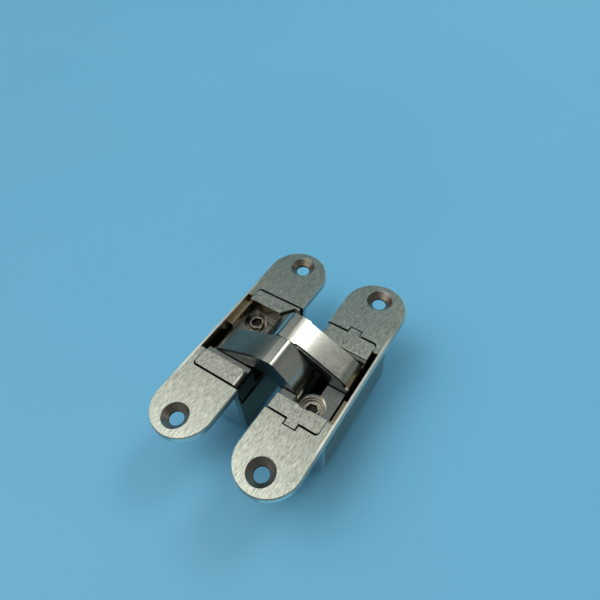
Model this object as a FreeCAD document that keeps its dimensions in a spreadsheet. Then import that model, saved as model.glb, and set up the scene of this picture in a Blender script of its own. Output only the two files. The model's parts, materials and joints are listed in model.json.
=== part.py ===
import FreeCAD, Part
import math
import os
import Sketcher

# Concealed door hinge with two leaves, shown opened flat.
# Each leaf is drawn about the middle of its own face plate.
# x runs across the leaf towards the other leaf, y along the leaf, z out of the face.
# The second leaf and the second arm are the same shapes turned half a turn about z.

os.makedirs("parts", exist_ok=True)
doc = FreeCAD.newDocument("concealed_hinge")
sheet = doc.addObject("Spreadsheet::Sheet", "Sizes")

# Driving sizes in millimetres and degrees
sizes = [
    ("plate_length", 117.0),
    ("plate_width", 30.0),
    ("plate_thick", 3.5),
    ("hole_edge", 9.5),
    ("hole_radius", 3.3),
    ("sink_radius", 6.2),
    ("leaf_offset", 22.2),
    ("slot_floor_room", 6.3),
    ("end_wall", 2.6),
    ("housing_corner", 5.0),
    ("plate_overhang", 0.4),
    ("outer_wall", 1.0),
    ("inner_wall", 2.0),
    ("pocket_half_length", 26.0),
    ("pocket_corner", 1.8),
    ("floor_thick", 2.0),
    ("inner_wall_drop", 15.0),
    ("slant_height", 14.0),
    ("shoulder_face", 10.9),
    ("shoulder_drop", 20.0),
    ("block_outer", 10.6),
    ("block_inner", 14.0),
    ("block_end_gap", 1.1),
    ("block_throat", 13.5),
    ("leg_outer", 11.0),
    ("leg_inner", 7.6),
    ("leg_gap", 1.5),
    ("cheek_bottom", 14.5),
    ("web_top", 16.0),
    ("shelf_top", 8.4),
    ("low_shelf_top", 10.6),
    ("shelf_bottom", 17.0),
    ("shelf_inner", 0.0),
    ("left_shelf_outer", 12.3),
    ("right_shelf_outer", 9.0),
    ("rail_top", 3.6),
    ("rail_bottom", 8.0),
    ("knuckle_top", 2.2),
    ("knuckle_outer", 7.2),
    ("slide_step_drop", 1.4),
    ("arm_width", 13.8),
    ("arm_gap", 0.4),
    ("arm_side_gap", 0.4),
    ("arm_shift", 0.4),
    ("cross_height", 7.5),
    ("pivot_x", 11.0),
    ("pivot_z", -6.0),
    ("slide_x", -5.0),
    ("slide_z", -5.5),
    ("arm_turn", 105.0),
    ("leaf_turn", 180.0),
    ("hub_radius", 4.0),
    ("rim_step", 0.7),
    ("rim_drop", 1.3),
    ("cross_pin_radius", 2.5),
    ("cross_pin_reach", 6.6),
    ("cross_washer_radius", 4.2),
    ("running_gap", 0.05),
    ("pin_radius", 2.0),
    ("pin_seat", 5.8),
    ("bush_radius", 2.7),
    ("clip_groove_radius", 1.7),
    ("clip_radius", 2.9),
    ("clip_pocket_radius", 3.2),
    ("clip_pocket_depth", 2.6),
    ("clip_thick", 0.7),
    ("slide_pin_length", 15.5),
    ("slide_pin_grip", 10.0),
    ("roller_radius", 3.3),
    ("roller_length", 4.5),
    ("roller_side_gap", 0.1),
    ("slot_depth", 5.5),
    ("left_screw_x", -4.0),
    ("left_screw_y", 12.2),
    ("right_screw_x", 0.5),
    ("right_screw_y", 12.4),
    ("screw_shank_radius", 2.5),
    ("screw_head_radius", 3.9),
    ("screw_head_thick", 3.1),
    ("screw_floor_room", 19.0),
    ("bore_gap", 0.6),
    ("washer_radius", 4.6),
    ("washer_thick", 0.8),
    ("head_seat", 12.3),
    ("head_recess_radius", 5.6),
    ("collar_seat", 13.4),
    ("collar_radius", 6.2),
    ("collar_step", 0.75),
    ("collar_rise", 0.8),
    ("flange_radius", 4.2),
    ("flange_thick", 0.7),
    ("lift_head_radius", 3.6),
    ("lift_head_thick", 2.4),
    ("socket_flats", 5.0),
    ("socket_depth", 1.6),
    ("boss_radius", 4.3),
    ("boss_ring", 1.1),
    ("boss_top", 20.5),
    ("side_travel", 1.5),
    ("depth_travel", 1.0),
    ("tab_width", 5.2),
    ("tab_centre", 1.2),
    ("tab_reach", 1.9),
    ("tab_thick", 2.2),
    ("tab_gap", 0.7),
    ("ledge_width", 1.9),
    ("ledge_drop", 2.0),
]
for row, (name, number) in enumerate(sizes, start=1):
    sheet.set("A%d" % row, name)
    sheet.set("B%d" % row, "%g" % number)
    sheet.setAlias("B%d" % row, name)
doc.recompute()
S = {name: float(sheet.get(name)) for name, number in sizes}


# Path of the slide roller in its leaf while the leaf folds over
def roller_path():
    cross = FreeCAD.Vector(S["leaf_offset"], S["cross_height"], 0)
    pivot = FreeCAD.Vector(S["pivot_x"], S["pivot_z"], 0)
    far = FreeCAD.Vector(2 * S["leaf_offset"] - S["slide_x"], S["slide_z"], 0)
    path = []
    for step in range(13):
        leaf = math.radians(S["leaf_turn"]) * step / 12
        arm = S["arm_turn"] * step / 12
        turn = FreeCAD.Rotation(FreeCAD.Vector(0, 0, 1), arm)
        joint = pivot + turn.multVec(cross - pivot)
        end = joint + turn.multVec(far - cross)
        normal = FreeCAD.Vector(math.cos(leaf / 2), math.sin(leaf / 2), 0)
        path.append(end - normal * (2 * (end - joint).dot(normal)))
    return path


# Sizes that follow from the driving sizes
arm_face = S["arm_gap"] / 2 + S["arm_width"]
lowest = -min(point.y for point in roller_path())
depth = lowest + S["roller_radius"] + S["roller_side_gap"] + S["slot_floor_room"]
depth = round(depth, 1)
length = depth - S["screw_floor_room"]
left_bore = S["head_seat"] - S["washer_thick"] + length + S["bore_gap"]
right_bore = S["collar_seat"] + length + S["depth_travel"] + S["bore_gap"]
made = [
    ("housing_half_width", S["plate_width"] / 2 - S["plate_overhang"]),
    ("pocket_outer", S["plate_width"] / 2 - S["plate_overhang"] - S["outer_wall"]),
    ("pocket_inner", S["plate_width"] / 2 - S["plate_overhang"] - S["inner_wall"]),
    ("housing_depth", depth),
    ("screw_spacing", S["plate_length"] - 2 * S["hole_edge"]),
    ("housing_half_length", S["pocket_half_length"] + S["end_wall"]),
    ("block_end", S["pocket_half_length"] - S["block_end_gap"]),
    ("bevel_start", depth - S["slant_height"]),
    ("leg_bottom", depth - S["floor_thick"] - S["leg_gap"]),
    ("screw_length", length),
    ("left_bore_floor", left_bore),
    ("right_bore_floor", right_bore),
]
for row, (name, number) in enumerate(made, start=len(sizes) + 1):
    sheet.set("A%d" % row, name)
    sheet.set("B%d" % row, "%g" % number)
    sheet.setAlias("B%d" % row, name)
doc.recompute()
for name, number in made:
    S[name] = float(sheet.get(name))


def new_body(label):
    body = doc.addObject("PartDesign::Body", label)
    body.Label = label
    return body


def origin_plane(body, role):
    for item in body.Origin.OriginFeatures:
        if item.Role == role:
            return item


def new_sketch(body, role, offset=None):
    sketch = body.newObject("Sketcher::SketchObject", "outline")
    sketch.AttachmentSupport = [(origin_plane(body, role), "")]
    sketch.MapMode = "FlatFace"
    if offset is not None:
        sketch.setExpression("AttachmentOffset.Base.z", offset)
    return sketch


def draw_closed(sketch, points):
    count = len(points)
    for index in range(count):
        here = FreeCAD.Vector(points[index][0], points[index][1], 0)
        there = FreeCAD.Vector(points[(index + 1) % count][0], points[(index + 1) % count][1], 0)
        sketch.addGeometry(Part.LineSegment(here, there), False)
    for index in range(count):
        sketch.addConstraint(Sketcher.Constraint("Coincident", index, 2, (index + 1) % count, 1))


def draw_circle(sketch, x, y, radius_name):
    centre = FreeCAD.Vector(x, y, 0)
    circle = Part.Circle(centre, FreeCAD.Vector(0, 0, 1), S[radius_name])
    number = sketch.addGeometry(circle, False)
    place = sketch.addConstraint(Sketcher.Constraint("Radius", number, S[radius_name]))
    sketch.setExpression("Constraints[%d]" % place, "Sizes." + radius_name)


def draw_smooth(sketch, points):
    curve = Part.BSplineCurve()
    curve.interpolate([FreeCAD.Vector(p[0], p[1], 0) for p in points])
    sketch.addGeometry(curve, False)


def pad(body, sketch, length, back=False):
    feature = body.newObject("PartDesign::Pad", "pad")
    feature.Profile = sketch
    feature.setExpression("Length", length)
    feature.Reversed = back
    sketch.Visibility = False
    doc.recompute()
    body.Tip = feature
    return feature


def pocket(body, sketch, length, back=False):
    feature = body.newObject("PartDesign::Pocket", "pocket")
    feature.Profile = sketch
    feature.setExpression("Length", length)
    feature.Reversed = back
    sketch.Visibility = False
    doc.recompute()
    body.Tip = feature
    return feature


def block(body, kind, x, y, z):
    feature = body.newObject("PartDesign::" + kind + "Box", "block")
    for axis, side, span in (("x", "Length", x), ("y", "Width", y), ("z", "Height", z)):
        feature.setExpression("Placement.Base." + axis, span[0])
        feature.setExpression(side, "(" + span[1] + ") - (" + span[0] + ")")
    doc.recompute()
    body.Tip = feature
    return feature


def drum(body, kind, radius, height, x, y, z, along_y=False):
    feature = body.newObject("PartDesign::" + kind + "Cylinder", "drum")
    if along_y:
        feature.Placement = FreeCAD.Placement(
            FreeCAD.Vector(0, 0, 0), FreeCAD.Rotation(FreeCAD.Vector(1, 0, 0), -90)
        )
    feature.setExpression("Radius", radius)
    feature.setExpression("Height", height)
    feature.setExpression("Placement.Base.x", x)
    feature.setExpression("Placement.Base.y", y)
    feature.setExpression("Placement.Base.z", z)
    doc.recompute()
    body.Tip = feature
    return feature


def turned(label, points, socket=None):
    body = new_body(label)
    sketch = new_sketch(body, "XZ_Plane")
    draw_closed(sketch, points)
    turn = body.newObject("PartDesign::Revolution", "turning")
    turn.Profile = sketch
    for item in body.Origin.OriginFeatures:
        if item.Role == "Z_Axis":
            turn.ReferenceAxis = (item, [""])
    turn.Angle = 360.0
    sketch.Visibility = False
    doc.recompute()
    body.Tip = turn
    if socket is not None:
        hexagon = new_sketch(body, "XY_Plane", socket)
        reach = S["socket_flats"] / math.sqrt(3)
        corners = []
        for step in range(6):
            angle = math.radians(60 * step + 15)
            corners.append((reach * math.cos(angle), reach * math.sin(angle)))
        draw_closed(hexagon, corners)
        pocket(body, hexagon, "Sizes.socket_depth")
    return body


def edges_near(shape, test):
    names = []
    for index, edge in enumerate(shape.Edges, start=1):
        if test(edge):
            names.append("Edge%d" % index)
    return names


def fillet(body, radius, test):
    base = body.Tip
    names = edges_near(base.Shape, test)
    if not names:
        return None
    feature = body.newObject("PartDesign::Fillet", "rounding")
    feature.Base = (base, names)
    feature.Radius = radius
    doc.recompute()
    body.Tip = feature
    return feature


def chamfer(body, size, test):
    base = body.Tip
    names = edges_near(base.Shape, test)
    if not names:
        return None
    feature = body.newObject("PartDesign::Chamfer", "bevel")
    feature.Base = (base, names)
    feature.Size = size
    doc.recompute()
    body.Tip = feature
    return feature


# Face plate and deep housing of one leaf
def make_housing(label, second):
    body = new_body(label)
    half = S["plate_width"] / 2
    run = S["plate_length"] / 2 - half
    plate = new_sketch(body, "XY_Plane")
    for sign in (1, -1):
        start = FreeCAD.Vector(sign * half, -sign * run, 0)
        bend = FreeCAD.Vector(sign * half, sign * run, 0)
        crown = FreeCAD.Vector(0, sign * (run + half), 0)
        finish = FreeCAD.Vector(-sign * half, sign * run, 0)
        plate.addGeometry(Part.LineSegment(start, bend), False)
        plate.addGeometry(Part.Arc(bend, crown, finish), False)
    pad(body, plate, "Sizes.plate_thick", True)

    wall = S["housing_half_width"]
    low = -S["housing_depth"]
    start = -S["bevel_start"] - 1.0
    box = new_sketch(body, "XZ_Plane", "-Sizes.housing_half_length")
    draw_closed(box, [(-wall, -1.0), (-wall, low), (wall - 2.0, low), (wall, low + 2.0), (wall, -1.0)])
    pad(body, box, "2 * Sizes.housing_half_length")

    # Rounded lower ends of the housing
    end = S["housing_half_length"]
    bend = S["housing_corner"]
    corners = new_sketch(body, "YZ_Plane", "Sizes.plate_width")
    for sign in (1, -1):
        path = [
            (sign * (end - bend), low),
            (sign * (end - bend), low - 1.0),
            (sign * (end + 1.0), low - 1.0),
            (sign * (end + 1.0), low + bend),
            (sign * end, low + bend),
        ]
        for here, there in zip(path[:-1], path[1:]):
            start_at = FreeCAD.Vector(here[0], here[1], 0)
            end_at = FreeCAD.Vector(there[0], there[1], 0)
            corners.addGeometry(Part.LineSegment(start_at, end_at), False)
        middle = bend * math.sqrt(0.5)
        corners.addGeometry(
            Part.Arc(
                FreeCAD.Vector(sign * end, low + bend, 0),
                FreeCAD.Vector(sign * (end - bend + middle), low + bend - middle, 0),
                FreeCAD.Vector(sign * (end - bend), low, 0),
            ),
            False,
        )
    pocket(body, corners, "2 * Sizes.plate_width")

    # Pocket for the carriage, open at the face and towards the other leaf
    outer = -S["pocket_outer"]
    inner = S["pocket_inner"]
    floor = low + S["floor_thick"]
    bevel = -S["bevel_start"]
    drop = -S["inner_wall_drop"]
    hollow = new_sketch(body, "XZ_Plane", "Sizes.pocket_half_length")
    draw_closed(
        hollow,
        [
            (outer, 1.0),
            (outer, bevel),
            (outer + bevel - floor, floor),
            (inner, floor),
            (inner, drop),
            (half + 1.0, drop),
            (half + 1.0, 1.0),
        ],
    )
    pocket(body, hollow, "2 * Sizes.pocket_half_length")

    # Shoulders that narrow the pocket beside the two blocks
    far_end = "Sizes.pocket_half_length"
    if second:
        spans = [(far_end + " - 7.6", far_end + " + 0.2"), ("-" + far_end + " - 0.2", "4.9 - " + far_end)]
    else:
        spans = [(far_end + " - 6", far_end + " + 0.2"), ("-" + far_end + " - 0.2", "9.4 - " + far_end)]
    for span in spans:
        block(
            body,
            "Additive",
            ("-Sizes.pocket_outer - 0.2", "-Sizes.shoulder_face"),
            span,
            ("-Sizes.shoulder_drop", "0"),
        )

    # Rounded corners of the pocket round the outer corners of the blocks
    def pocket_corner(edge):
        box_ = edge.BoundBox
        upright = box_.XLength < 1e-6 and box_.YLength < 1e-6 and box_.ZLength > 5
        at_end = abs(abs(box_.YMin) - S["pocket_half_length"]) < 1e-6
        return upright and at_end and abs(box_.XMin + S["shoulder_face"]) < 1e-6

    fillet(body, S["pocket_corner"], pocket_corner)
    if not second:
        # Ledge along the outer wall
        block(
            body,
            "Additive",
            ("-Sizes.pocket_outer - 0.2", "-Sizes.shoulder_face"),
            ("2.5", far_end + " - 5.8"),
            ("-Sizes.rail_bottom", "-Sizes.rail_top"),
        )
    else:
        block(
            body,
            "Additive",
            ("-Sizes.pocket_outer - 0.2", "-Sizes.pocket_outer + Sizes.ledge_width"),
            ("5.5", far_end + " - 7.4"),
            ("-9", "-Sizes.ledge_drop"),
        )
        for sign in ("", "-"):
            y_span = (far_end + " - 0.5", far_end + " + Sizes.tab_reach + Sizes.tab_gap")
            if sign:
                y_span = ("-(" + y_span[1] + ")", "-(" + y_span[0] + ")")
            block(
                body,
                "Subtractive",
                (
                    "Sizes.tab_centre - Sizes.tab_width / 2 - Sizes.tab_gap",
                    "Sizes.tab_centre + Sizes.tab_width / 2 + Sizes.tab_gap",
                ),
                y_span,
                ("-3.4", "1"),
            )

    # Boss that the screw turns in
    side = "Sizes.right_screw_" if second else "Sizes.left_screw_"
    bore_floor = "Sizes.right_bore_floor" if second else "Sizes.left_bore_floor"
    drum(
        body,
        "Additive",
        "Sizes.boss_radius",
        "Sizes.housing_depth - Sizes.boss_top - Sizes.floor_thick / 2",
        side + "x",
        side + "y",
        "-Sizes.housing_depth + Sizes.floor_thick / 2",
    )

    # Long slanted corner of the housing, away from the other leaf
    slant = new_sketch(body, "XZ_Plane", "Sizes.housing_half_length + 1")
    draw_closed(
        slant,
        [(-wall - 1.0, start + 1.0), (-wall - low + start + 1.0, low - 1.0), (-wall - 1.0, low - 1.0)],
    )
    pocket(body, slant, "2 * Sizes.housing_half_length + 2")
    drum(
        body,
        "Subtractive",
        "Sizes.screw_shank_radius + Sizes.running_gap",
        bore_floor + " - Sizes.boss_top + 1",
        side + "x",
        side + "y",
        "-" + bore_floor,
    )

    # Countersunk fixing holes
    for sign in (1, -1):
        spot = new_sketch(body, "XY_Plane")
        draw_circle(spot, 0, sign * S["screw_spacing"] / 2, "hole_radius")
        pocket(body, spot, "Sizes.plate_thick + 1")
        cone = body.newObject("PartDesign::SubtractiveCone", "countersink")
        cone.setExpression("Radius1", "Sizes.hole_radius")
        cone.setExpression("Radius2", "Sizes.sink_radius")
        cone.setExpression("Height", "Sizes.sink_radius - Sizes.hole_radius")
        cone.setExpression("Placement.Base.y", "%d * Sizes.screw_spacing / 2" % sign)
        cone.setExpression("Placement.Base.z", "Sizes.hole_radius - Sizes.sink_radius")
        doc.recompute()
        body.Tip = cone

    # Softened outer rim of the face plate
    def rim(edge):
        box_ = edge.BoundBox
        flat = abs(box_.ZMin) < 1e-6 and abs(box_.ZMax) < 1e-6
        long_side = abs(abs(box_.XMin) - half) < 1e-6 and abs(box_.XMin - box_.XMax) < 1e-6
        round_end = edge.Curve.TypeId == "Part::GeomCircle" and abs(edge.Curve.Radius - half) < 1e-6
        return flat and (long_side or round_end)

    chamfer(body, 0.4, rim)
    return body


# Carriage that sits in a housing, carries the fixed pivot and guides the slide roller
def slot_outline(grow):
    path = roller_path()
    left = []
    right = []
    for index, here in enumerate(path):
        before = path[max(index - 1, 0)]
        after = path[min(index + 1, len(path) - 1)]
        along = (after - before).normalize()
        side = FreeCAD.Vector(-along.y, along.x, 0)
        left.append(here + side * grow)
        right.append(here - side * grow)
    start = path[0] - (path[1] - path[0]).normalize() * grow
    finish = path[-1] + (path[-1] - path[-2]).normalize() * grow
    return left, right, start, finish


def make_carriage(label, second):
    shift = -S["arm_shift"] if second else S["arm_shift"]
    near = arm_face + S["arm_side_gap"]
    pivot_face = near + shift
    slide_face = -near + shift
    pivot_top = pivot_face + (3.8 if second else 3.2)
    slide_top = slide_face - (1.5 if second else 2.6)
    outer = -S["block_outer"]
    inner = S["block_inner"]
    throat = -S["block_throat"]
    leg = S["leg_outer"]
    foot = -S["leg_bottom"]
    body = new_body(label)

    # Slide side block with the curved guide slot
    cheek = new_sketch(body, "XZ_Plane", "%g" % -slide_face)
    bevel = -S["bevel_start"]
    draw_closed(
        cheek,
        [
            (outer, 0),
            (outer, bevel),
            (outer + bevel - foot, foot),
            (leg, foot),
            (leg, throat),
            (inner, throat),
            (inner, 0),
        ],
    )
    pad(body, cheek, "Sizes.block_end + %g" % slide_face)
    block(
        body,
        "Subtractive",
        ("-Sizes.block_outer - 1", "Sizes.block_inner + 1"),
        ("%g" % slide_top, "%g" % (slide_face + 1)),
        ("-Sizes.slide_step_drop", "1"),
    )
    slot = new_sketch(body, "XZ_Plane", "%g" % (S["slot_depth"] - slide_face))
    left, right, start, finish = slot_outline(S["roller_radius"] + S["roller_side_gap"])
    draw_smooth(slot, [(p.x, p.y) for p in left])
    slot.addGeometry(Part.Arc(left[-1], finish, right[-1]), False)
    draw_smooth(slot, [(p.x, p.y) for p in reversed(right)])
    slot.addGeometry(Part.Arc(right[0], start, left[0]), False)
    pocket(body, slot, "Sizes.slot_depth + 1")

    # Pivot side block
    cheek = new_sketch(body, "XZ_Plane", "-Sizes.block_end")
    shallow = -S["cheek_bottom"]
    draw_closed(
        cheek,
        [
            (outer, 0),
            (outer, shallow),
            (S["leg_inner"], shallow),
            (S["leg_inner"], foot),
            (leg, foot),
            (leg, throat),
            (inner, throat),
            (inner, 0),
        ],
    )
    pad(body, cheek, "Sizes.block_end - %g" % pivot_face)
    for span, top in (
        (("-Sizes.block_outer - 1", "Sizes.knuckle_outer"), "-Sizes.shelf_top"),
        (("Sizes.knuckle_outer - 1", "Sizes.block_inner + 1"), "-Sizes.knuckle_top"),
    ):
        block(body, "Subtractive", span, ("%g" % (pivot_face - 1), "%g" % pivot_top), (top, "1"))

    # Web and shelf that join the two blocks
    block(
        body,
        "Additive",
        ("Sizes.leg_inner", "Sizes.leg_outer"),
        ("%g" % (slide_face - 1), "%g" % (pivot_face + 1)),
        ("-Sizes.leg_bottom", "-Sizes.web_top"),
    )
    outer_edge = "-Sizes.right_shelf_outer" if second else "-Sizes.left_shelf_outer"
    block(
        body,
        "Additive",
        (outer_edge, "Sizes.shelf_inner"),
        ("%g" % (S["arm_gap"] / 2 + shift), "%g" % (pivot_face + 1)),
        ("-Sizes.shelf_bottom", "-Sizes.shelf_top"),
    )
    if second:
        drum(
            body,
            "Additive",
            "Sizes.collar_radius + Sizes.boss_ring",
            "Sizes.shelf_bottom - Sizes.low_shelf_top",
            "Sizes.right_screw_x",
            "Sizes.right_screw_y",
            "-Sizes.shelf_bottom",
        )
    else:
        block(
            body,
            "Additive",
            ("Sizes.shelf_inner - 1", "Sizes.leg_inner + 0.2"),
            ("5", "%g" % (pivot_face + 1)),
            ("-Sizes.shelf_bottom", "-Sizes.low_shelf_top"),
        )

    # Seat of the fixed pivot pin
    drum(
        body,
        "Subtractive",
        "Sizes.pin_radius",
        "Sizes.pin_seat + 0.8",
        "Sizes.pivot_x",
        "%g" % (pivot_face - 0.5),
        "Sizes.pivot_z",
        True,
    )

    side = "Sizes.right_screw_" if second else "Sizes.left_screw_"
    if second:
        # Round recess of the screw and its collar, cut into the shelf and the pivot side block
        drum(
            body,
            "Subtractive",
            "Sizes.collar_radius",
            "Sizes.collar_seat + 1",
            side + "x",
            side + "y",
            "-Sizes.collar_seat",
        )
        drum(
            body,
            "Subtractive",
            "Sizes.screw_shank_radius + Sizes.running_gap",
            "10",
            side + "x",
            side + "y",
            "-Sizes.shelf_bottom - 1",
        )
        # Tabs that key the blocks into the face plate
        for sign in ("", "-"):
            y_span = ("Sizes.block_end - 0.5", "Sizes.pocket_half_length + Sizes.tab_reach")
            if sign:
                y_span = ("-(" + y_span[1] + ")", "-(" + y_span[0] + ")")
            block(
                body,
                "Additive",
                ("Sizes.tab_centre - Sizes.tab_width / 2", "Sizes.tab_centre + Sizes.tab_width / 2"),
                y_span,
                ("-Sizes.tab_thick", "0"),
            )
    else:
        # Slotted passage, so the carriage can be set sideways under the screw
        block(
            body,
            "Subtractive",
            (side + "x - Sizes.side_travel", side + "x"),
            (side + "y - Sizes.screw_shank_radius - 0.1", side + "y + Sizes.screw_shank_radius + 0.1"),
            ("-Sizes.shelf_bottom - 1", "-Sizes.shelf_top + 1"),
        )
        for place in (side + "x - Sizes.side_travel", side + "x"):
            drum(
                body,
                "Subtractive",
                "Sizes.screw_shank_radius + 0.1",
                "Sizes.shelf_bottom - Sizes.shelf_top + 2",
                place,
                side + "y",
                "-Sizes.shelf_bottom - 1",
            )
        # Recess of the screw head in the shelf and the pivot side block
        drum(
            body,
            "Subtractive",
            "Sizes.head_recess_radius",
            "Sizes.head_seat + 1",
            side + "x - Sizes.side_travel / 2",
            side + "y",
            "-Sizes.head_seat",
        )
        # Slanted end of the pivot side block
        slant = new_sketch(body, "XY_Plane", "1")
        top = pivot_top
        draw_closed(slant, [(6.7, top - 1), (6.7, top), (11.6, top + 6), (15.0, top + 5.8), (15.0, top - 1)])
        pocket(body, slant, "Sizes.knuckle_top + 1")

    # Rounded outer corners of the blocks
    def outer_corner(edge):
        box_ = edge.BoundBox
        upright = box_.ZLength > 5 and box_.XLength < 1e-6 and box_.YLength < 1e-6
        at_end = abs(abs(box_.YMin) - S["block_end"]) < 1e-6
        return upright and at_end and abs(box_.XMin - outer) < 1e-6

    fillet(body, 1.5, outer_corner)

    # Inner ends of the block faces rolled down
    def inner_edge(edge):
        box_ = edge.BoundBox
        level = abs(box_.ZMin) < 1e-6 and abs(box_.ZMax) < 1e-6
        return level and abs(box_.XMin - inner) < 1e-6 and box_.XLength < 1e-6 and box_.YMax < 0

    fillet(body, 0.8 if second else 3.4, inner_edge)
    return body


# Curved arm drawn open, about the middle between the leaves
pivot_at = FreeCAD.Vector(S["pivot_x"] - S["leaf_offset"], S["pivot_z"], 0)
slide_at = FreeCAD.Vector(S["leaf_offset"] - S["slide_x"], S["slide_z"], 0)


def fitted(points):
    """Stretches the drawn outline so that it meets the pivot, the cross pin and the slide pin."""
    found = []
    for x, z in points:
        wide = -pivot_at.x / 11.2 if x < 0 else slide_at.x / 27.2
        tall = (S["cross_height"] - S["pivot_z"]) / 13.5
        found.append((x * wide, S["pivot_z"] + (z + 6.0) * tall))
    return found


def arm_top():
    hub = (pivot_at.x - S["hub_radius"], pivot_at.y)
    steep = [(-14.9, -3.2), (-13.7, -0.2), (-11.9, 2.8), (-9.2, 6.2), (-6.4, 9.3), (-4.2, 11.3), (-2.6, 12.1)]
    facet = [(-2.6, 12.1), (1.2, 12.0)]
    gentle = [(1.2, 12.0), (4.6, 11.2), (8.0, 10.0), (12.5, 7.9)]
    gentle = gentle + [(20.0, 4.0), (25.5, 1.1), (29.3, -1.1), (31.6, -3.6)]
    return [hub] + fitted(steep), fitted(facet), fitted(gentle)


def make_arm(label, cross_gap):
    body = new_body(label)
    hub = S["hub_radius"]
    steep, facet, gentle = arm_top()
    profile = new_sketch(body, "XZ_Plane", "-(Sizes.arm_gap / 2 + Sizes.arm_width)")
    draw_smooth(profile, steep)
    draw_smooth(profile, facet)
    draw_smooth(profile, gentle)
    tail = [(31.6, -3.6), (32.5, -5.6), (32.2, -8.0), (30.3, -10.3)]
    tail = tail + [(27.2, -11.0), (24.0, -9.6), (21.2, -6.9)]
    draw_smooth(profile, fitted(tail))
    under = [(21.2, -6.9), (17.0, -3.2), (12.0, -0.5), (6.5, 1.0)]
    under = under + [(1.5, 0.6), (-2.5, -1.2), (-5.6, -3.8)]
    draw_smooth(profile, fitted(under) + [(pivot_at.x + hub, pivot_at.y)])
    profile.addGeometry(
        Part.Arc(
            FreeCAD.Vector(pivot_at.x + hub, pivot_at.y, 0),
            FreeCAD.Vector(pivot_at.x, pivot_at.y - hub, 0),
            FreeCAD.Vector(pivot_at.x - hub, pivot_at.y, 0),
        ),
        False,
    )
    pad(body, profile, "Sizes.arm_width")

    # Long side rebates of the gentle half
    drop = S["rim_drop"]
    for edge in ("1 - Sizes.arm_gap / 2", "Sizes.rim_step - Sizes.arm_gap / 2 - Sizes.arm_width"):
        cut = new_sketch(body, "XZ_Plane", edge)
        lower = [(5.6, 10.9), (8.0, 10.0), (12.5, 7.9), (20.0, 4.0), (25.5, 1.1), (28.6, -0.7), (30.6, -3.2)]
        lower = [(x, z - drop) for x, z in fitted(lower)]
        draw_smooth(cut, lower)
        above = 2 * S["cross_height"]
        beyond = lower[-1][0] + 6.0
        path = [lower[-1], (beyond, lower[-1][1]), (beyond, above), (lower[0][0], above), lower[0]]
        for here, there in zip(path[:-1], path[1:]):
            start = FreeCAD.Vector(here[0], here[1], 0)
            finish = FreeCAD.Vector(there[0], there[1], 0)
            cut.addGeometry(Part.LineSegment(start, finish), False)
        pocket(body, cut, "Sizes.rim_step + 1")

    # Bores of the cross pin, the pivot bush, its clip and the slide pin
    drum(
        body,
        "Subtractive",
        "Sizes.cross_pin_radius + " + cross_gap,
        "8",
        "0",
        "Sizes.arm_gap / 2 - 1",
        "Sizes.cross_height",
        True,
    )
    drum(
        body,
        "Subtractive",
        "Sizes.bush_radius",
        "Sizes.arm_width + 2",
        "%g" % pivot_at.x,
        "Sizes.arm_gap / 2 - 1",
        "Sizes.pivot_z",
        True,
    )
    drum(
        body,
        "Subtractive",
        "Sizes.clip_pocket_radius",
        "Sizes.clip_pocket_depth + 1",
        "%g" % pivot_at.x,
        "Sizes.arm_gap / 2 - 1",
        "Sizes.pivot_z",
        True,
    )
    drum(
        body,
        "Subtractive",
        "Sizes.pin_radius",
        "Sizes.slide_pin_grip + 1",
        "%g" % slide_at.x,
        "Sizes.arm_gap / 2 + Sizes.arm_width - Sizes.slide_pin_grip",
        "Sizes.slide_z",
        True,
    )
    return body


left_housing = make_housing("left_housing", False)
right_housing = make_housing("right_housing", True)
left_carriage = make_carriage("left_carriage", False)
right_carriage = make_carriage("right_carriage", True)
rear_arm = make_arm("rear_arm", "0")
front_arm = make_arm("front_arm", "Sizes.running_gap")

# Cross pin and the washer between the arms
cross = S["cross_pin_radius"]
reach = S["cross_pin_reach"]
cross_pin = turned("cross_pin", [(0, -reach), (cross, -reach), (cross, reach), (0, reach)])
inside = cross + S["running_gap"]
outside = S["cross_washer_radius"]
high = S["arm_gap"]
cross_washer = turned("cross_washer", [(inside, 0.03), (outside, 0.03), (outside, high), (inside, high)])


# Fixed pivot pin with a clip groove, its bush and its clip
def make_pivot(prefix):
    radius = S["pin_radius"]
    groove = S["clip_groove_radius"]
    start = 0.6
    first = 1.2
    second = first + S["clip_thick"] + 0.06
    end = arm_face + S["arm_side_gap"] + S["pin_seat"]
    pin = turned(
        prefix + "_pivot_pin",
        [
            (0, start),
            (radius - 0.3, start),
            (radius, start + 0.3),
            (radius, first),
            (groove, first),
            (groove, second),
            (radius, second),
            (radius, end),
            (0, end),
        ],
    )
    bore = radius + S["running_gap"]
    near = S["arm_gap"] / 2
    low = near + S["clip_pocket_depth"] + 0.1
    high = near + S["arm_width"] - 0.1
    bush = turned(
        prefix + "_pivot_bush",
        [(bore, low), (S["bush_radius"], low), (S["bush_radius"], high), (bore, high)],
    )
    clip = turned(
        prefix + "_pivot_clip",
        [
            (groove + 0.02, first + 0.03),
            (S["clip_radius"], first + 0.03),
            (S["clip_radius"], first + 0.03 + S["clip_thick"]),
            (groove + 0.02, first + 0.03 + S["clip_thick"]),
        ],
    )
    return pin, bush, clip


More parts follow.
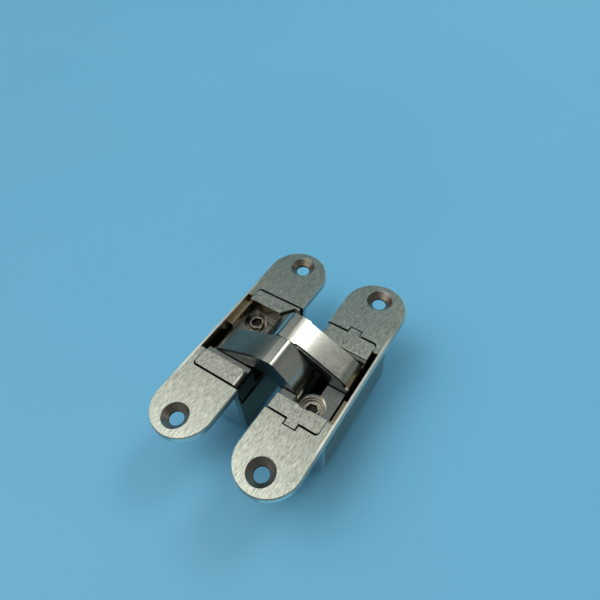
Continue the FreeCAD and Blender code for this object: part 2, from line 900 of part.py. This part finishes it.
# Slide pin of an arm and the roller on it
def make_slide(prefix):
    radius = S["pin_radius"]
    face = S["arm_gap"] / 2 + S["arm_width"]
    low = face - S["slide_pin_grip"]
    high = low + S["slide_pin_length"]
    pin = turned(
        prefix + "_slide_pin",
        [(0, low), (radius, low), (radius, high - 0.4), (radius - 0.4, high), (0, high)],
    )
    bore = radius + S["running_gap"]
    start = face + 0.7
    end = start + S["roller_length"]
    wheel = S["roller_radius"]
    roller = turned(
        prefix + "_roller",
        [
            (bore, start),
            (wheel - 0.3, start),
            (wheel, start + 0.3),
            (wheel, end - 0.3),
            (wheel - 0.3, end),
            (bore, end),
        ],
    )
    return pin, roller


left_pivot_pin, left_pivot_bush, left_pivot_clip = make_pivot("left")
right_pivot_pin, right_pivot_bush, right_pivot_clip = make_pivot("right")
rear_slide_pin, rear_roller = make_slide("rear")
front_slide_pin, front_roller = make_slide("front")

# Socket screw that clamps the left carriage, with its washer
head = S["screw_head_radius"]
shank = S["screw_shank_radius"]
thick = S["screw_head_thick"]
washer = S["washer_thick"]
clamp_screw = turned(
    "clamp_screw",
    [
        (0, washer - length),
        (shank - 0.5, washer - length),
        (shank, washer - length + 0.5),
        (shank, washer),
        (head, washer),
        (head, washer + thick - 0.5),
        (head - 0.5, washer + thick),
        (0, washer + thick),
    ],
    "%g" % (washer + thick),
)
rim_radius = S["washer_radius"]
clamp_washer = turned(
    "clamp_washer",
    [(shank + 0.05, 0), (rim_radius, 0), (rim_radius, washer), (shank + 0.05, washer)],
)

# Socket screw that lifts the right carriage, held down by a stepped collar
flange = S["flange_radius"]
flange_top = S["flange_thick"]
neck = S["lift_head_radius"]
crown = S["lift_head_thick"]
play = 0.04
depth_screw = turned(
    "depth_screw",
    [
        (0, play - length),
        (shank - 0.5, play - length),
        (shank, play + 0.5 - length),
        (shank, play),
        (flange, play),
        (flange, flange_top),
        (neck, flange_top),
        (neck, crown),
        (0, crown),
    ],
    "%g" % crown,
)
outside = S["collar_radius"]
step = S["collar_step"]
rise = S["collar_rise"]
lip = flange_top + play
depth_collar = turned(
    "depth_collar",
    [
        (flange + play, 0),
        (outside, 0),
        (outside, lip + 3 * rise),
        (outside - step, lip + 3 * rise),
        (outside - step, lip + 2 * rise),
        (outside - 2 * step, lip + 2 * rise),
        (outside - 2 * step, lip + rise),
        (neck + play, lip + rise),
        (neck + play, lip),
        (flange + play, lip),
    ],
)


# Positions of all pieces in the shared frame
def place(body, base, axis=None, angle=0):
    rotation = FreeCAD.Rotation()
    if axis is not None:
        rotation = FreeCAD.Rotation(FreeCAD.Vector(*axis), angle)
    body.Placement = FreeCAD.Placement(FreeCAD.Vector(0, 0, 0), rotation)
    for name, text in zip(("x", "y", "z"), base):
        body.setExpression("Placement.Base." + name, text)


face = "Sizes.housing_depth"
upright = (0, 0, 1)
for body in (left_housing, left_carriage):
    place(body, ("-Sizes.leaf_offset", "0", face))
for body in (right_housing, right_carriage):
    place(body, ("Sizes.leaf_offset", "0", face), upright, 180)
place(rear_arm, ("0", "Sizes.arm_shift", face))
place(front_arm, ("0", "Sizes.arm_shift", face), upright, 180)

cross_z = "Sizes.housing_depth + Sizes.cross_height"
place(cross_pin, ("0", "Sizes.arm_shift", cross_z), (1, 0, 0), -90)
place(cross_washer, ("0", "Sizes.arm_shift - Sizes.arm_gap / 2", cross_z), (1, 0, 0), -90)
pivot_z = "Sizes.housing_depth + Sizes.pivot_z"
slide_z = "Sizes.housing_depth + Sizes.slide_z"
for body in (left_pivot_pin, left_pivot_bush, left_pivot_clip):
    place(body, ("Sizes.pivot_x - Sizes.leaf_offset", "Sizes.arm_shift", pivot_z), (1, 0, 0), -90)
for body in (right_pivot_pin, right_pivot_bush, right_pivot_clip):
    place(body, ("Sizes.leaf_offset - Sizes.pivot_x", "Sizes.arm_shift", pivot_z), (1, 0, 0), 90)
for body in (rear_slide_pin, rear_roller):
    place(body, ("Sizes.leaf_offset - Sizes.slide_x", "Sizes.arm_shift", slide_z), (1, 0, 0), -90)
for body in (front_slide_pin, front_roller):
    place(body, ("Sizes.slide_x - Sizes.leaf_offset", "Sizes.arm_shift", slide_z), (1, 0, 0), 90)
seat_z = "Sizes.housing_depth - Sizes.head_seat"
for body in (clamp_screw, clamp_washer):
    place(body, ("Sizes.left_screw_x - Sizes.leaf_offset", "Sizes.left_screw_y", seat_z))
seat_z = "Sizes.housing_depth - Sizes.collar_seat"
for body in (depth_screw, depth_collar):
    place(body, ("Sizes.leaf_offset - Sizes.right_screw_x", "-Sizes.right_screw_y", seat_z), upright, 180)
doc.recompute()

# Check every feature and write the solids
for item in doc.Objects:
    for word in ("Invalid", "Error"):
        if word in item.State:
            raise RuntimeError(item.Label + " is " + word)
bodies = [item for item in doc.Objects if item.TypeId == "PartDesign::Body"]
for item in bodies:
    shape = item.Shape
    if shape.isNull() or not shape.isValid() or len(shape.Solids) != 1:
        raise RuntimeError(item.Label + " is not one valid solid")
    shape.exportStep("parts/" + item.Label + ".step")
    size = shape.BoundBox
    spans = (size.XMin, size.XMax, size.YMin, size.YMax, size.ZMin, size.ZMax)
    print(item.Label, round(shape.Volume, 1), [round(span, 2) for span in spans])
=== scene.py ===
import json
import math

import bmesh
import bpy
from mathutils import Matrix, Vector

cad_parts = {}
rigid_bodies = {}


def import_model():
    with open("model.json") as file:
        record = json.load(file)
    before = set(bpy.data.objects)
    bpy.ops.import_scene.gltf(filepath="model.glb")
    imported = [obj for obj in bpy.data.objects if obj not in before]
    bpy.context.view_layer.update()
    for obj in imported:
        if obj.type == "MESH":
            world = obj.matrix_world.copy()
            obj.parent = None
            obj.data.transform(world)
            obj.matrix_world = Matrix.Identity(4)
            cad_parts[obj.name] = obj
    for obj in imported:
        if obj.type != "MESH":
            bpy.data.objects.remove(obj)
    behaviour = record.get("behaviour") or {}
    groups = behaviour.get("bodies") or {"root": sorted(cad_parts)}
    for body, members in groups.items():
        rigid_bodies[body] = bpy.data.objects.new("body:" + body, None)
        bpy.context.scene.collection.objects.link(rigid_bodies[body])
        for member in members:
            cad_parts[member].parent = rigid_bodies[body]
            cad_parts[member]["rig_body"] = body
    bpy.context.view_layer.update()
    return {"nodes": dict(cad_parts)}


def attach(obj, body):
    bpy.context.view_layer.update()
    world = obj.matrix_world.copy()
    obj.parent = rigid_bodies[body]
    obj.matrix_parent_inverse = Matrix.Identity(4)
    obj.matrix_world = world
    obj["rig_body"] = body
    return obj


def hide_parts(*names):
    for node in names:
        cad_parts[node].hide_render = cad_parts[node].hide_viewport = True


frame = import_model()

# Sizes are in millimetres, with heights above the floor.
MM = 0.001
FACE = 38.0  # height of the plate faces
PLATE = 3.5  # thickness of a plate
LEAF = 22.2  # from the middle of the hinge to the middle of a leaf
HOLE = 49.0  # from the middle of a leaf to its countersinks
BEND = 0.9  # widest broken edge, at the bends of the arms
CLAMP_SCREW = (-26.2, 12.2, 29.3)  # axis and top
DEPTH_SCREW = (21.7, -12.4, 27.0)  # axis and top

# An edge of an arm is one of its bends when it is this long and high, in metres, and turns this far, in degrees.
BEND_LENGTH = 0.008
BEND_HEIGHT = 0.040
BEND_ANGLE = 6
SHARP_ANGLE = 38


class Amount:
    """A socket that varies over a surface. Arithmetic on it adds Math nodes."""

    def __init__(self, finish, socket):
        self.finish = finish
        self.socket = socket

    def sum_with(self, operation, first, second):
        return self.finish.add("ShaderNodeMath", {"operation": operation}, {0: first, 1: second})

    def __add__(self, other):
        return self.sum_with("ADD", self, other)

    def __radd__(self, other):
        return self.sum_with("ADD", other, self)

    def __sub__(self, other):
        return self.sum_with("SUBTRACT", self, other)

    def __rsub__(self, other):
        return self.sum_with("SUBTRACT", other, self)

    def __mul__(self, other):
        return self.sum_with("MULTIPLY", self, other)

    def __rmul__(self, other):
        return self.sum_with("MULTIPLY", other, self)

    def __pow__(self, other):
        return self.sum_with("POWER", self, other)

    def most(self, other):
        return self.sum_with("MAXIMUM", self, other)

    def size(self):
        return self.finish.add("ShaderNodeMath", {"operation": "ABSOLUTE"}, {0: self})

    def ramp(self, low, high):
        """0 below low, 1 above high, smooth between; the other way round if low is above high."""
        if low > high:
            return 1 - self.ramp(high, low)
        return self.finish.add(
            "ShaderNodeMapRange",
            {"interpolation_type": "SMOOTHSTEP"},
            {"Value": self, "From Min": low, "From Max": high},
        )


class Finish:
    """A procedural material of one finish, with places in millimetres."""

    def __init__(self, name):
        self.material = bpy.data.materials.new(name)
        self.material.use_nodes = True
        self.tree = self.material.node_tree
        self.tree.nodes.clear()
        self.place = self.add("ShaderNodeTexCoord", output="Object")
        self.x, self.y, self.z = [part * 1000 for part in self.parts(self.place)]

    def parts(self, vector):
        node = self.tree.nodes.new("ShaderNodeSeparateXYZ")
        self.tree.links.new(vector.socket, node.inputs[0])
        return [Amount(self, node.outputs[i]) for i in range(3)]

    def facing(self):
        """How far the surface faces along x, y and z, without a sign."""
        return [part.size() for part in self.parts(self.add("ShaderNodeTexCoord", output="Normal"))]

    def edge(self):
        """1 on the broken edges between the flat faces of a boxy piece."""
        across, along, up = self.facing()
        return across.most(along).most(up).ramp(0.985, 0.90)

    def add(self, kind, settings=None, values=None, output=0):
        node = self.tree.nodes.new(kind)
        for key, setting in (settings or {}).items():
            setattr(node, key, setting)
        for key, value in (values or {}).items():
            if isinstance(value, Amount):
                self.tree.links.new(value.socket, node.inputs[key])
            elif isinstance(value, tuple) and len(value) == 3 and node.inputs[key].type == "RGBA":
                node.inputs[key].default_value = (*value, 1)
            else:
                node.inputs[key].default_value = value
        return Amount(self, node.outputs[output])

    def stretched(self, scale):
        return self.add("ShaderNodeVectorMath", {"operation": "MULTIPLY"}, {0: self.place, 1: scale})

    def cloud(self, scale, detail=3.0, rough=0.55):
        """Noise with grains of 1/scale metres along x, y and z."""
        return self.add(
            "ShaderNodeTexNoise",
            {},
            {"Vector": self.stretched(scale), "Scale": 1.0, "Detail": detail, "Roughness": rough},
            "Fac",
        )

    def blend(self, factor, first, second):
        node = self.tree.nodes.new("ShaderNodeMix")
        node.data_type = "RGBA"
        node.clamp_factor = True
        for key, value in ((0, factor), (6, first), (7, second)):
            if isinstance(value, Amount):
                self.tree.links.new(value.socket, node.inputs[key])
            elif isinstance(value, tuple):
                node.inputs[key].default_value = (*value, 1)
            else:
                node.inputs[key].default_value = value
        return Amount(self, node.outputs[2])

    def bump(self, height, distance, strength=1.0, before=None):
        values = {"Height": height, "Distance": distance, "Strength": strength}
        if before is not None:
            values["Normal"] = before
        return self.add("ShaderNodeBump", {}, values)

    def surface(self, **values):
        shader = self.add("ShaderNodeBsdfPrincipled", {}, {k.replace("_", " "): v for k, v in values.items()})
        self.add_output(shader)
        return self.material

    def add_output(self, shader):
        end = self.tree.nodes.new("ShaderNodeOutputMaterial")
        self.tree.links.new(shader.socket, end.inputs["Surface"])


class Room(Finish):
    """The soft light of the room, by the direction it comes from."""

    def __init__(self, world):
        world.use_nodes = True
        self.tree = world.node_tree
        self.tree.nodes.clear()
        self.place = self.add("ShaderNodeTexCoord", output="Generated")
        self.x, self.y, self.z = self.parts(self.place)

    def glow(self, direction, sharpness, colour):
        """A soft patch of light of one colour; the sharper, the smaller."""
        aim = Vector(direction).normalized()
        facing = self.x * aim.x + self.y * aim.y + self.z * aim.z
        patch = facing.most(0.0) ** sharpness
        return self.add("ShaderNodeVectorMath", {"operation": "SCALE"}, {0: colour, "Scale": patch})

    def light(self, base, glows):
        colour = base
        for patch in glows:
            colour = self.add("ShaderNodeVectorMath", {"operation": "ADD"}, {0: colour, 1: patch})
        shader = self.add("ShaderNodeBackground", {}, {"Color": colour, "Strength": 1.0})
        end = self.tree.nodes.new("ShaderNodeOutputWorld")
        self.tree.links.new(shader.socket, end.inputs["Surface"])


def distance(finish, x, y):
    """Distance in millimetres from an upright axis."""
    across = finish.x - x
    along = finish.y - y
    return (across * across + along * along) ** 0.5


def countersink_mask(finish, centre):
    """1 in the two countersinks of a leaf, and the distance from the nearer axis."""
    along = finish.y.size() - HOLE
    across = finish.x - centre
    far = (across * across + along * along) ** 0.5
    return far.ramp(6.25, 6.05) * finish.z.ramp(FACE - 0.02, FACE - 0.1), far


def satin_plate(name, centre):
    """Satin nickel plate brushed along the leaf, a dark raw pocket and smooth plated outer walls."""
    f = Finish(name)
    streak = f.cloud((3000, 190, 3000), 2.0, 0.6)
    hair = f.cloud((6400, 460, 6400), 3.0, 0.75)
    tone = (streak * 0.32 + hair * 0.68).ramp(0.36, 0.64)
    plate = f.blend(tone, (0.22, 0.24, 0.212), (0.71, 0.74, 0.65))
    # The plate's outer strip by the pocket and its broken edges are painted lighter: a painted highlight.
    painted_rim_highlight = f.x.size().ramp(LEAF + 13.4, LEAF + 13.9) * f.y.size().ramp(36.0, 27.0)
    plate = f.blend(painted_rim_highlight.most(f.edge()), plate, (0.88, 0.90, 0.83))
    sink, far = countersink_mask(f, centre)
    rings = f.add("ShaderNodeMath", {"operation": "SINE"}, {0: far * 26.0})
    turned_and_bore_shade = f.blend(rings * 0.5 + 0.5, (0.19, 0.165, 0.135), (0.30, 0.265, 0.22))
    # The bore below each countersink is painted near black: painted shade in the hole.
    turned_and_bore_shade = f.blend(far.ramp(3.6, 3.35), turned_and_bore_shade, (0.07, 0.065, 0.055))
    inside = (f.x - centre).size().ramp(14.95, 14.7) * f.y.size().ramp(26.6, 26.2)
    inside = inside * f.z.ramp(FACE - 0.5, FACE - 1.4)
    under = f.z.ramp(FACE - PLATE + 0.2, FACE - PLATE - 0.3)
    cast = f.cloud((900, 900, 900), 4.0)
    raw = f.blend(cast, (0.19, 0.155, 0.11), (0.37, 0.305, 0.225))
    wall = f.blend(cast, (0.50, 0.53, 0.53), (0.60, 0.62, 0.61))
    colour = f.blend(under, plate, wall)
    colour = f.blend(inside, colour, raw)
    colour = f.blend(sink, colour, turned_and_bore_shade)
    rough = f.blend(under, 0.28 + tone * 0.08, 0.20 + cast * 0.08)
    normal = f.bump(streak * 0.6 + hair * 0.4, 0.00004, 0.45)
    normal = f.bump(cast * inside, 0.00006, 0.5, normal)
    normal = f.bump(rings * sink, 0.00003, 0.5, normal)
    return f.surface(Base_Color=colour, Metallic=1.0, Roughness=rough, Normal=normal)


def coarse_block(name):
    """Satin nickel block faces, ground with a coarser brush, on a duller casting that is painted darker low down
    and on its sideways faces as painted shade, with painted highlights on its broken edges.
    """
    f = Finish(name)
    streak = f.cloud((3400, 500, 3400), 2.0, 0.6)
    pit = f.cloud((4200, 2400, 4200), 3.0, 0.7)
    tone = (streak * 0.5 + pit * 0.5).ramp(0.37, 0.63)
    top = f.z.ramp(FACE - 0.9, FACE - 0.3)
    bright = f.blend(tone, (0.22, 0.237, 0.209), (0.66, 0.68, 0.60))
    cast = f.cloud((700, 700, 700), 4.0)
    milled = f.blend(cast, (0.13, 0.145, 0.14), (0.26, 0.28, 0.265))
    # Painted shade: everything lower down or facing sideways gets this darker brown, and only upward faces high
    # on the block keep the lighter casting colour.
    painted_deep_shade = f.blend(cast, (0.085, 0.068, 0.045), (0.15, 0.12, 0.08))
    across, along, up = f.facing()
    shelf = f.z.ramp(FACE - 16.0, FACE - 12.0) * up.ramp(0.5, 0.8)
    raw = f.blend(shelf, painted_deep_shade, milled)
    colour = f.blend(top, raw, bright)
    # Broken edges along the top and along the shelf are painted lighter: a painted highlight.
    shelf_highlight_band = f.z.ramp(FACE - 12.5, FACE - 11.0) * f.z.ramp(FACE - 7.5, FACE - 8.0)
    painted_highlight_rims = f.z.ramp(FACE - 0.45, FACE - 0.3).most(shelf_highlight_band)
    colour = f.blend(f.edge() * painted_highlight_rims, colour, (0.82, 0.84, 0.77))
    rough = 0.27 + tone * 0.12
    normal = f.bump(streak * top, 0.00005, 0.6)
    normal = f.bump(cast * (1 - top), 0.00005, 0.4, normal)
    return f.surface(Base_Color=colour, Metallic=1.0, Roughness=rough, Normal=normal)


def satin_arm(name):
    """Smooth satin nickel, brushed along the arm, with its side faces painted near black as painted shade."""
    f = Finish(name)
    hair = f.cloud((420, 7000, 420), 2.0)
    soft = f.cloud((90, 160, 90), 2.0)
    tone = (hair * 0.8 + soft * 0.2).ramp(0.36, 0.64)
    across, along, up = f.facing()
    side = along.ramp(0.75, 0.95)
    face = f.blend(tone, (0.58, 0.58, 0.53), (0.72, 0.72, 0.66))
    cast = f.cloud((900, 900, 900), 3.0)
    # The side faces are painted near black: painted shade.
    dark = f.blend(cast, (0.06, 0.07, 0.075), (0.12, 0.13, 0.135))
    colour = f.blend(side, face, dark)
    rough = 0.20 + tone * 0.06 + side * 0.12
    normal = f.bump(hair, 0.00003, 0.35)
    return f.surface(Base_Color=colour, Metallic=1.0, Roughness=rough, Normal=normal)


def bright_nickel(name, x, y, top):
    """Bright plated screw metal with fine turning marks about its axis, a socket below its top painted near
    black as painted shade, and thin dark rings painted at the steps of its head as painted shade.
    """
    f = Finish(name)
    far = distance(f, x, y)
    # The socket is painted near black: painted shade in the hole.
    socket = far.ramp(3.0, 2.85) * f.z.ramp(top - 0.05, top - 0.3)
    rings = f.add("ShaderNodeMath", {"operation": "SINE"}, {0: far * 22.0})
    mark = f.cloud((1400, 1400, 1400), 3.0)
    colour = f.blend(mark, (0.30, 0.28, 0.225), (0.50, 0.475, 0.40))
    # Thin dark rings at the steps of the head and collar are painted shade in the gaps.
    painted_step_shades = [(far - radius).size().ramp(0.20, 0.08) for radius in (3.62, 4.7, 5.45)]
    painted_step_shade = painted_step_shades[0].most(painted_step_shades[1]).most(painted_step_shades[2])
    colour = f.blend(painted_step_shade * 0.85, colour, (0.05, 0.045, 0.035))
    colour = f.blend(socket, colour, (0.035, 0.033, 0.030))
    normal = f.bump(rings, 0.00002, 0.35)
    return f.surface(Base_Color=colour, Metallic=1.0, Roughness=0.16 + mark * 0.14, Normal=normal)


def ground_steel(name):
    """Ground steel of the pins and clips."""
    f = Finish(name)
    mark = f.cloud((2400, 2400, 2400), 3.0)
    colour = f.blend(mark, (0.34, 0.34, 0.34), (0.50, 0.50, 0.49))
    rough = 0.22 + mark * 0.18
    return f.surface(Base_Color=colour, Metallic=1.0, Roughness=rough, Normal=f.bump(mark, 0.00003, 0.3))


def dark_polymer(name):
    """Dark moulded bearing plastic."""
    f = Finish(name)
    grain = f.cloud((5000, 5000, 5000), 2.0)
    colour = f.blend(grain, (0.030, 0.030, 0.034), (0.060, 0.060, 0.064))
    rough = 0.42 + grain * 0.15
    return f.surface(Base_Color=colour, Metallic=0.0, Roughness=rough, Normal=f.bump(grain, 0.00004, 0.3))


finishes = {
    "left_housing": satin_plate("left_plate_satin", -LEAF),
    "right_housing": satin_plate("right_plate_satin", LEAF),
    "carriage": coarse_block("block_satin"),
    "arm": satin_arm("arm_satin"),
    "clamp": bright_nickel("clamp_screw_nickel", *CLAMP_SCREW),
    "depth": bright_nickel("depth_screw_nickel", *DEPTH_SCREW),
    "pin": ground_steel("pin_steel"),
    "bush": dark_polymer("bearing_plastic"),
}


def finish_of(node):
    """The finish of a node, by its name."""
    for word in ("left_housing", "right_housing", "carriage", "arm", "clamp", "depth"):
        if word in node:
            return finishes[word]
    if "bush" in node or "roller" in node or "washer" in node:
        return finishes["bush"]
    return finishes["pin"]


def soften(node, width):
    """A copy of a CAD node with its sharp edges broken, shown in its place."""
    source = frame["nodes"][node]
    work = bmesh.new()
    work.from_mesh(source.data)
    bmesh.ops.remove_doubles(work, verts=work.verts, dist=0.000004)
    flat = math.radians(0.5)
    bmesh.ops.dissolve_limit(work, angle_limit=flat, verts=work.verts, edges=work.edges)
    edge_part = work.edges.layers.float.new("bevel_weight_edge")
    for edge in work.edges:
        if len(edge.link_faces) != 2:
            continue
        angle = math.degrees(edge.calc_face_angle(0.0))
        run = edge.verts[1].co - edge.verts[0].co
        high = min(corner.co.z for corner in edge.verts) > BEND_HEIGHT
        if "arm" in node and high and abs(run.y) > BEND_LENGTH and angle > BEND_ANGLE:
            edge[edge_part] = 1.0
        elif angle > SHARP_ANGLE:
            edge[edge_part] = width / BEND
    mesh = bpy.data.meshes.new(node + "_softened")
    work.to_mesh(mesh)
    work.free()
    piece = bpy.data.objects.new(node + "_softened", mesh)
    bpy.context.scene.collection.objects.link(piece)
    mesh.polygons.foreach_set("use_smooth", [True] * len(mesh.polygons))
    mesh.set_sharp_from_angle(angle=math.radians(SHARP_ANGLE))
    bevel = piece.modifiers.new("broken_edges", "BEVEL")
    bevel.width = BEND * MM
    bevel.segments = 3
    bevel.limit_method = "WEIGHT"
    bevel.use_clamp_overlap = True
    shading = piece.modifiers.new("flat_faces", "WEIGHTED_NORMAL")
    shading.mode = "FACE_AREA"
    shading.weight = 100
    shading.keep_sharp = True
    mesh.materials.append(finish_of(node))
    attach(piece, source["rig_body"])
    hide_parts(node)
    return piece


# Width of the broken edges of each node
softened = {
    "left_housing": 0.25,
    "right_housing": 0.25,
    "left_carriage": 0.28,
    "right_carriage": 0.28,
    "rear_arm": 0.22,
    "front_arm": 0.22,
}
for node, item in frame["nodes"].items():
    item.data.materials.clear()
    item.data.materials.append(finish_of(node))
    if node in softened:
        soften(node, softened[node])

# Floor
floor_mesh = bpy.data.meshes.new("floor")
floor_mesh.from_pydata([(-4, -4, 0), (4, -4, 0), (4, 4, 0), (-4, 4, 0)], [], [(0, 1, 2, 3)])
floor = bpy.data.objects.new("floor", floor_mesh)
bpy.context.scene.collection.objects.link(floor)
paper = Finish("floor_paper")
grain = paper.cloud((3, 3, 3), 2.0)
floor_mesh.materials.append(
    paper.surface(
        Base_Color=paper.blend(grain, (0.135, 0.465, 0.735), (0.175, 0.505, 0.765)),
        Metallic=0.0,
        Roughness=0.6,
    )
)


# Studio light: a broad glow above on the left, a small one above behind, and three low round the room
world = bpy.data.worlds.new("studio")
bpy.context.scene.world = world
room = Room(world)
room.light(
    (0.022, 0.026, 0.029),
    [
        room.glow((-0.35, -0.23, 0.908), 12.0, (4.35, 4.35, 4.1)),
        room.glow((0.24, 0.55, 0.80), 80.0, (8.2, 8.3, 7.8)),
        room.glow((0.80, 0.45, 0.10), 5.0, (0.16, 0.17, 0.15)),
        room.glow((-0.30, 0.95, 0.0), 8.0, (0.6, 1.6, 2.0)),
        room.glow((0.75, -0.60, 0.28), 1.5, (0.08, 0.09, 0.09)),
    ],
)

# Camera, with its focal length in pixels of a square picture
FOCAL = 476.145
PICTURE = 600
SENSOR = 36.0
camera_data = bpy.data.cameras.new("camera")
camera_data.sensor_width = SENSOR
camera_data.lens = FOCAL / PICTURE * SENSOR
camera_data.clip_start = 0.01
camera_data.clip_end = 20
camera = bpy.data.objects.new("camera", camera_data)
right = Vector((0.836227, 0.545975, -0.051336))
down = Vector((0.394082, -0.663394, -0.636087))
ahead = Vector((-0.381344, 0.511683, -0.769907))
turn = Matrix((right, -down, -ahead)).transposed().to_4x4()
camera.matrix_world = Matrix.Translation(Vector((77.934, -90.124, 218.197)) * MM) @ turn
bpy.context.scene.collection.objects.link(camera)
bpy.context.scene.camera = camera
bpy.context.scene.view_settings.view_transform = "Standard"
